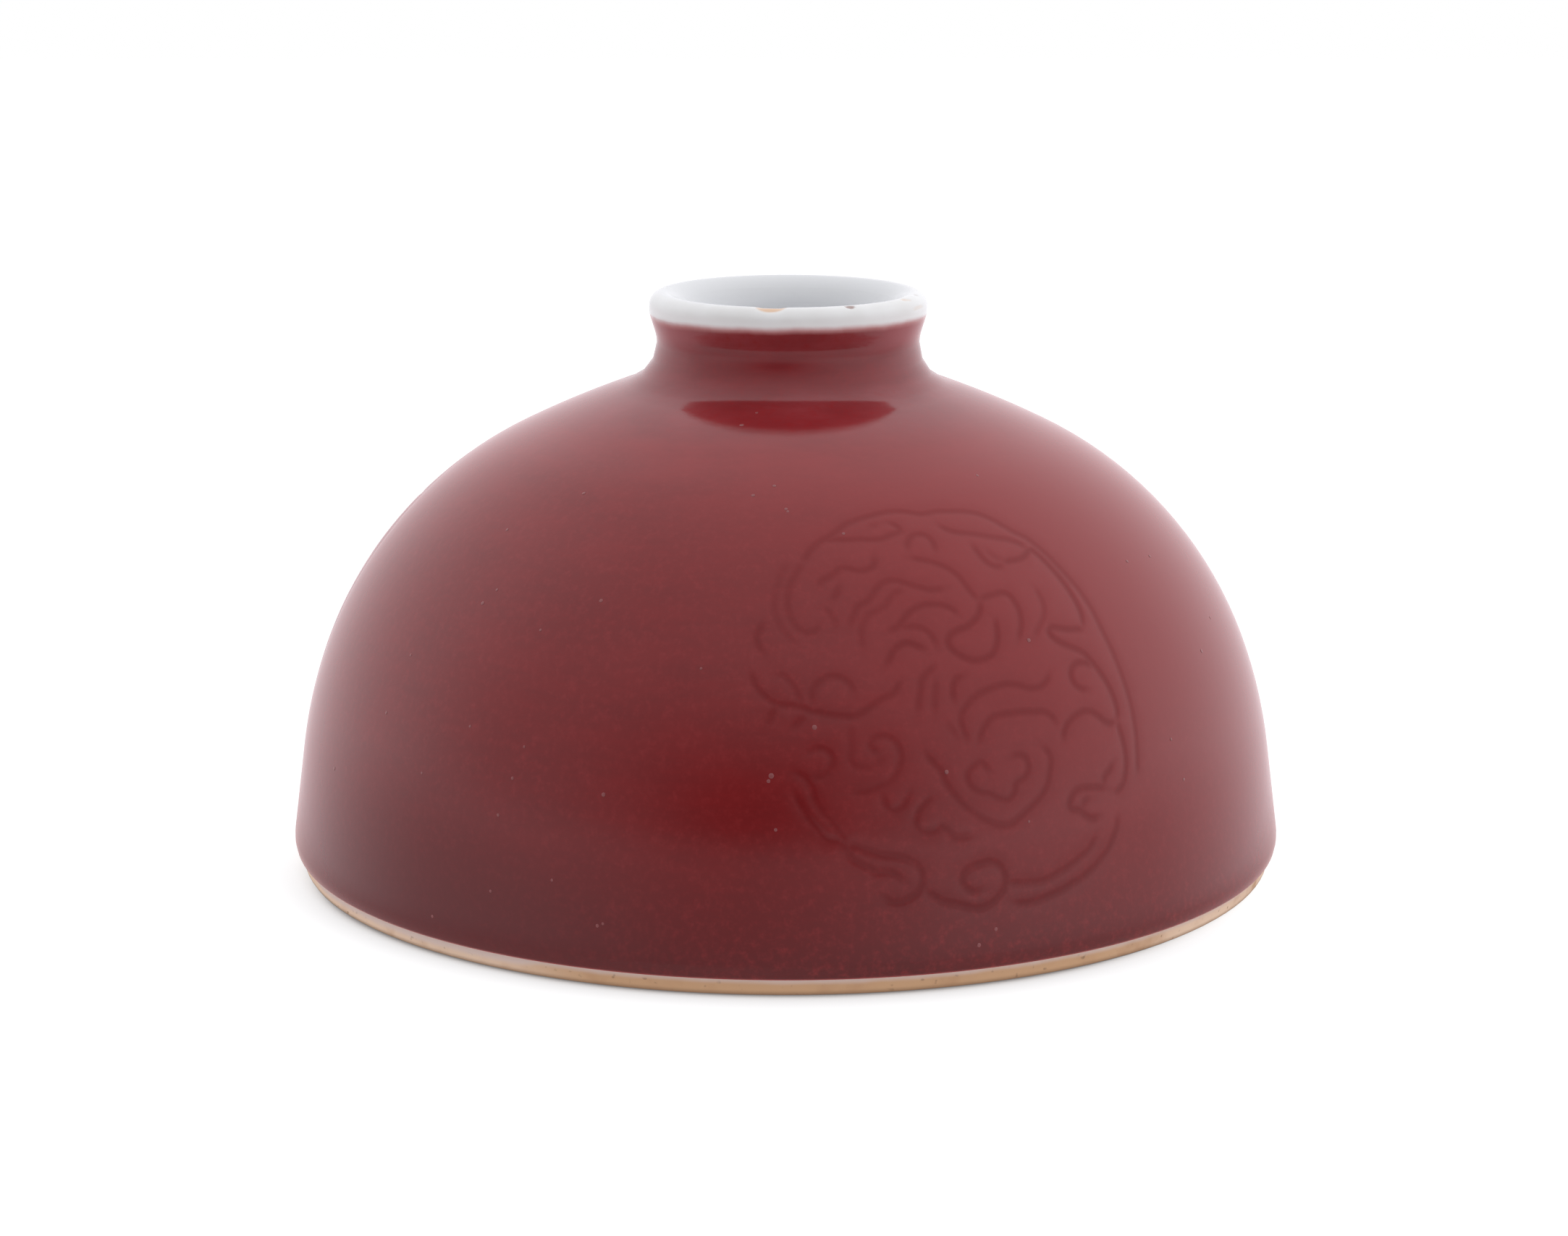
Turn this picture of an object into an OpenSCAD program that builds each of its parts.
// Beehive water coupe: a small porcelain water pot for a writing desk.
// Millimetres, +Z up. The origin is the centre of the foot, on the table.
// The pot is thrown in three sections, luted together with slip, then glazed in four coats.

/* [Body] */
// Widest diameter of the pot, over the glaze
body_d = 127; // [115:1:145]
// Height of the widest point above the table
belly_h = 3.5; // [3:0.1:4.5]
// Radius of the rounded heel below the widest point, over the glaze
heel_r = 3.5; // [3.2:0.1:5]
// Lean of the straight lower wall from upright, in degrees
batter = 7.5; // [5:0.5:10]
// Slant length of the straight lower wall
batter_run = 11; // [9:0.5:16]
// Radius of the belly curve, over the glaze
belly_r = 59; // [50:1:70]
// Lean at which the belly curve passes into the shoulder curve, in degrees
belly_lean = 19; // [15:1:24]
// Radius of the shoulder curve, over the glaze
shoulder_r = 49.8; // [44:0.2:54]
// Lean of the straight crown between the shoulder and the neck, in degrees
crown_lean = 66.2; // [62:0.2:70]
// Thickness of the porcelain wall
wall_t = 4.2; // [3.4:0.1:5.5]

/* [Foot] */
// How far the foot rim is set in from the widest point
foot_set = 1.1; // [0.6:0.1:2]
// Width of the foot rim
foot_w = 4.4; // [3:0.1:6]
// Rounding of the foot rim's two lower edges
foot_edge = 0.4; // [0.2:0.1:0.8]
// Height of the bare, unglazed foot
bare_h = 1.9; // [1.5:0.1:2.4]
// Depth of the hollow underside
recess = 3.8; // [3.4:0.1:6]
// Radius of the cove round the hollow underside
recess_cove = 1.2; // [0.8:0.1:1.6]
// Thickness of the porcelain floor
floor_t = 4.6; // [3.6:0.1:6]
// Radius of the cove between the floor and the wall, inside
floor_cove = 6; // [4:0.5:8]

/* [Neck] */
// Diameter of the neck's waist, over the glaze
neck_d = 33.3; // [28:0.1:40]
// Radius of the cove between the crown and the neck, over the glaze
neck_cove = 5; // [4:0.25:7]
// Height from the waist to the widest point of the lip
lip_rise = 5; // [4:0.25:9]
// How far the lip stands out from the neck's waist
lip_flare = 0.8; // [0.4:0.1:1.4]
// Thickness of the rolled lip, over the glaze
lip_t = 3.2; // [2.8:0.1:4]
// Radius of the throat, where the bore of the neck opens into the pot
throat_r = 6; // [4:0.5:8]

/* [Seams] */
// Height of the lap between the base and the dome
lap_h = 3; // [2:0.5:5]
// How far the neck's flange spreads over the crown, past the neck's cove
flange_w = 3.4; // [2:0.2:5]
// Thickness of the flange's edge
flange_t = 2; // [1.6:0.1:2.4]
// Width of the ledge under the flange
ledge_w = 3.5; // [2.5:0.25:4.25]
// Thickness of the slip in the seams
slip_t = 0.2; // [0.1:0.05:0.4]

/* [Glaze] */
// Thickness of the glaze coats
glaze_t = 0.35; // [0.25:0.05:0.5]
// Drop from the widest point of the lip to the edge of the red glaze
white_drop = 1.4; // [1:0.1:1.8]

/* [Hidden] */

// Most that a chord may stand off the arc that it stands for
chord_err = 0.01;
// Facets of a full turn in the preview
$fn = 120;

biscuit = "#c9ab90";
slip_grey = "#d9d4cc";
copper_red = "#8a3a40";
lip_white = "#dfe0e2";
inner_white = "#d3d8dc";

foot_r = body_d / 2 - foot_set;
neck_r = neck_d / 2;
lip_r = neck_r + lip_flare;
lip_round = lip_t / 2;
bore_r = lip_r - lip_t;
shell_t = wall_t + 2 * glaze_t;

// A surface point is [radius, height, a], where a is the direction that the surface faces, in degrees
function facing(a) = [cos(a), sin(a)];
function chords(r, turn) = max(1, ceil(abs(turn) / (2 * acos(1 - chord_err / abs(r)))));
// Points along an arc. A hollow arc, which faces its own centre, has a negative radius
function arc(c, r, from, to) =
    let (n = chords(r, to - from))
    [for (i = [0:n]) let (a = from + (to - from) * i / n) concat(c + r * facing(a), [a])];
// The same surface, sunk by d below itself, as plain points
function sunk(path, d) = [for (p = path) [p.x, p.y] - d * facing(p[2])];
function reversed(list) = [for (i = [len(list) - 1:-1:0]) list[i]];

// Centres of the arcs: each stretch starts where the one before it ends, in the same direction
heel_c = [body_d / 2 - heel_r, belly_h];
belly_start = heel_c + heel_r * facing(batter) + batter_run * facing(batter + 90);
belly_c = belly_start - belly_r * facing(batter);
shoulder_c = belly_c + (belly_r - shoulder_r) * facing(belly_lean);
crown_start = shoulder_c + shoulder_r * facing(crown_lean);

// Height of a circle of radius r that touches both the crown line through p and an upright at radius x
function touching_z(p, x, r) = p.y + (r - (x + r - p.x) * cos(crown_lean)) / sin(crown_lean);
waist_z = touching_z(crown_start, neck_r, neck_cove);
lip_z = waist_z + lip_rise;
height = lip_z + lip_round;

// The neck swells from its waist to the lip in two equal arcs that turn opposite ways
swell_r = (lip_flare ^ 2 + lip_rise ^ 2) / (4 * lip_flare);
swell_turn = 2 * atan2(lip_flare, lip_rise);

// Where the red glaze starts at the heel and stops under the lip
heel_turn = asin((belly_h - bare_h) / (heel_r - glaze_t));
white_turn = asin(white_drop / swell_r);

// Outer surface over the glaze, from the bare foot to the white lip, and over the lip into the bore
red_skin = concat(
    arc(heel_c, heel_r, -heel_turn, batter),
    arc(belly_c, belly_r, batter, belly_lean),
    arc(shoulder_c, shoulder_r, belly_lean, crown_lean),
    arc([neck_r + neck_cove, waist_z], -neck_cove, crown_lean, 0),
    arc([neck_r + swell_r, waist_z], -swell_r, 0, -swell_turn),
    arc([lip_r - swell_r, lip_z], swell_r, -swell_turn, -white_turn)
);
lip_skin = concat(
    arc([lip_r - swell_r, lip_z], swell_r, -white_turn, 0),
    arc([lip_r - lip_round, lip_z], lip_round, 0, 180)
);

// Inner surface over the glaze, from the lip down through the throat to the middle of the floor
floor_z = recess + floor_t + glaze_t;
inner_crown = shoulder_c + (shoulder_r - shell_t) * facing(crown_lean);
inner_wall = belly_start - shell_t * facing(batter);
// The floor's cove touches the belly curve, or the straight wall where it lies lower
cove_z = floor_z + floor_cove;
cove_reach = belly_r - shell_t - floor_cove;
cove_lean = max(batter, asin((cove_z - belly_c.y) / cove_reach));
cove_x = cove_lean > batter
    ? belly_c.x + cove_reach * cos(cove_lean)
    : inner_wall.x - floor_cove / cos(batter) + (inner_wall.y - cove_z) * tan(batter);
inner_skin = concat(
    [[bore_r, lip_z, 180]],
    arc([bore_r + throat_r, touching_z(inner_crown, bore_r, throat_r)], throat_r, 180, 180 + crown_lean),
    arc(shoulder_c, shell_t - shoulder_r, 180 + crown_lean, 180 + belly_lean),
    arc(belly_c, shell_t - belly_r, 180 + belly_lean, 180 + cove_lean),
    arc([cove_x, cove_z], -floor_cove, 180 + cove_lean, 90),
    [[0, floor_z, 90]]
);

// Underside, from the middle to the foot rim, and round the rim to the heel, as bare porcelain
rim_r = foot_r - foot_w;
underside = concat(
    [[0, recess, 270]],
    arc([rim_r - recess_cove, recess - recess_cove], -recess_cove, 270, 180),
    [[rim_r, bare_h, 180]]
);
foot_rim = concat(
    arc([rim_r + foot_edge, foot_edge], foot_edge, 180, 270),
    arc([foot_r - foot_edge, foot_edge], foot_edge, 270, 360)
);

// Seams: the dome overlaps the rim of the base, and the neck's flange sits in a ledge of the crown
seam_z = belly_start.y;
seam_r = belly_start.x - (glaze_t + wall_t / 2) * cos(batter);
flange_r = neck_r + neck_cove * (1 - cos(crown_lean)) + flange_w;
crown_point = crown_start - glaze_t * facing(crown_lean);
ledge_z = crown_point.y + (crown_point.x - flange_r) / tan(crown_lean) - flange_t;
ledge_r = flange_r - ledge_w;

echo(height = height, waist_z = waist_z, bore_d = 2 * bore_r, floor_z = floor_z, ledge_z = ledge_z, seam_z = seam_z);

// Half section of the whole porcelain pot
module porcelain_section() {
    polygon(concat(
        sunk(underside, 0),
        sunk(foot_rim, 0),
        sunk(red_skin, glaze_t),
        sunk(lip_skin, glaze_t),
        sunk(inner_skin, glaze_t)
    ));
}

// Half plane that the base fills, grown by g at the seam
module base_side(g) {
    polygon([
        [0, 0], [body_d, 0], [body_d, seam_z + g], [seam_r + g, seam_z + g],
        [seam_r + g, seam_z + lap_h + g], [0, seam_z + lap_h + g]
    ]);
}

// Half plane that the neck fills, grown by g at the seam
module neck_side(g) {
    polygon([
        [0, seam_z + lap_h + slip_t], [ledge_r + g, seam_z + lap_h + slip_t], [ledge_r + g, ledge_z - g],
        [flange_r + g, ledge_z - g], [flange_r + g, height], [0, height]
    ]);
}

// A coat of glaze on a surface that is given over the glaze
module coat(skin) {
    rotate_extrude() polygon(concat(sunk(skin, 0), reversed(sunk(skin, glaze_t))));
}

// Floor, foot rim and lower wall, thrown as a dish and turned underneath
module base_section() {
    color(biscuit) rotate_extrude() intersection() {
        porcelain_section();
        base_side(0);
    }
}

// Belly, shoulder and crown, thrown as a dome
module dome_section() {
    color(biscuit) rotate_extrude() difference() {
        porcelain_section();
        base_side(slip_t);
        neck_side(slip_t);
    }
}

// Neck with its flange and rolled lip
module neck_section() {
    color(biscuit) rotate_extrude() intersection() {
        porcelain_section();
        neck_side(0);
    }
}

// Slip in the lap between the base and the dome
module base_slip() {
    color(slip_grey) rotate_extrude() intersection() {
        porcelain_section();
        difference() {
            base_side(slip_t);
            base_side(0);
        }
    }
}

// Slip under and round the neck's flange
module neck_slip() {
    color(slip_grey) rotate_extrude() intersection() {
        porcelain_section();
        difference() {
            neck_side(slip_t);
            neck_side(0);
        }
    }
}

// Copper-red coat, from the heel to the lip
module red_glaze() {
    color(copper_red) coat(red_skin);
}

// Clear coat on the white lip
module lip_glaze() {
    color(lip_white) coat(lip_skin);
}

// Clear coat inside, from the lip to the floor
module inner_glaze() {
    color(inner_white) coat(inner_skin);
}

// Clear coat in the hollow underside
module base_glaze() {
    color(inner_white) rotate_extrude()
        polygon(concat(sunk(underside, 0), reversed(sunk(underside, -glaze_t))));
}

base_section();
dome_section();
neck_section();
base_slip();
neck_slip();
red_glaze();
lip_glaze();
inner_glaze();
base_glaze();
